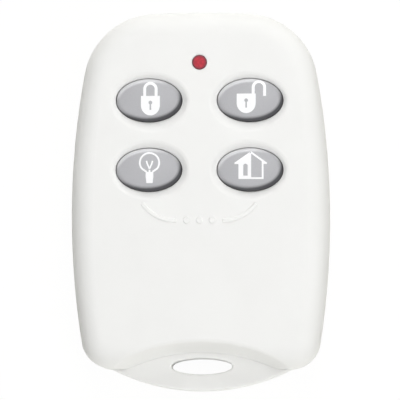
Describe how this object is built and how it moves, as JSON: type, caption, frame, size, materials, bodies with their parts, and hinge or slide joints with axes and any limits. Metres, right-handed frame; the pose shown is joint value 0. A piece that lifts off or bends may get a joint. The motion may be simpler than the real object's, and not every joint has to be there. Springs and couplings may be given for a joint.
{
  "type": "alarm remote control key fob",
  "caption": "Pocket radio remote for an alarm: white crowned case, grey oval press keys in dished wells, red indicator, and an arched scoop over a tongue with a strap eye.",
  "frame": {"origin": "middle of the width and length, on the flat back face that the remote lies on", "axes": "+Z out of the face through the keys, +Y along the length from the strap eye to the indicator, +X to the right seen from the keys' side"},
  "size_m": [0.0422, 0.062, 0.0147],
  "materials": {
    "case": "fine satin, moulded white",
    "keys": "satin, light grey",
    "lens": "gloss, tinted red",
    "silicone": "matt, translucent grey",
    "carbon": "matt black",
    "board": "green solder mask over glass laminate",
    "gilt": "bright, thin plated",
    "copper": "copper under solder mask",
    "black_moulding": "matt black epoxy",
    "tinned": "bright tinned",
    "can_steel": "drawn, satin",
    "ceramic_black": "glazed black, tinned ends",
    "ceramic_tan": "matt tan, tinned ends",
    "led_resin": "clear resin on a white base",
    "cell_steel": "plated, fine spun",
    "spring_steel": "plated spring strip",
    "screw_steel": "zinc plated"
  },
  "bodies": {
    "housing": {"front_cover": "case", "back_cover": "case", "case_screws": "screw_steel", "circuit_board": "board", "contact_pads": "gilt", "antenna_loop": "copper", "encoder_chip": "black_moulding", "encoder_leads": "tinned", "resonator_can": "can_steel", "chip_resistors": "ceramic_black", "chip_capacitors": "ceramic_tan", "indicator_led": "led_resin", "indicator_lens": "lens", "coin_cell": "cell_steel", "battery_clip": "spring_steel", "battery_contact": "spring_steel", "key_mat": "silicone", "key_dome_lock": "silicone", "key_dome_unlock": "silicone", "key_dome_light": "silicone", "key_dome_home": "silicone"},
    "key_lock": {"key_cap_lock": "keys", "key_plinth_lock": "silicone", "carbon_pill_lock": "carbon"},
    "key_unlock": {"key_cap_unlock": "keys", "key_plinth_unlock": "silicone", "carbon_pill_unlock": "carbon"},
    "key_light": {"key_cap_light": "keys", "key_plinth_light": "silicone", "carbon_pill_light": "carbon"},
    "key_home": {"key_cap_home": "keys", "key_plinth_home": "silicone", "carbon_pill_home": "carbon"}
  },
  "joints": [
    {"name": "press_lock", "type": "slide", "parent": "housing", "child": "key_lock", "axis": [0, 0, -1], "range_m": [0, 0.0009], "stiffness_N_per_m": 1500, "springref_m": -0.0003, "deforming": ["key_dome_lock"]},
    {"name": "press_unlock", "type": "slide", "parent": "housing", "child": "key_unlock", "axis": [0, 0, -1], "range_m": [0, 0.0009], "stiffness_N_per_m": 1500, "springref_m": -0.0003, "deforming": ["key_dome_unlock"]},
    {"name": "press_light", "type": "slide", "parent": "housing", "child": "key_light", "axis": [0, 0, -1], "range_m": [0, 0.0009], "stiffness_N_per_m": 1500, "springref_m": -0.0003, "deforming": ["key_dome_light"]},
    {"name": "press_home", "type": "slide", "parent": "housing", "child": "key_home", "axis": [0, 0, -1], "range_m": [0, 0.0009], "stiffness_N_per_m": 1500, "springref_m": -0.0003, "deforming": ["key_dome_home"]}
  ]
}
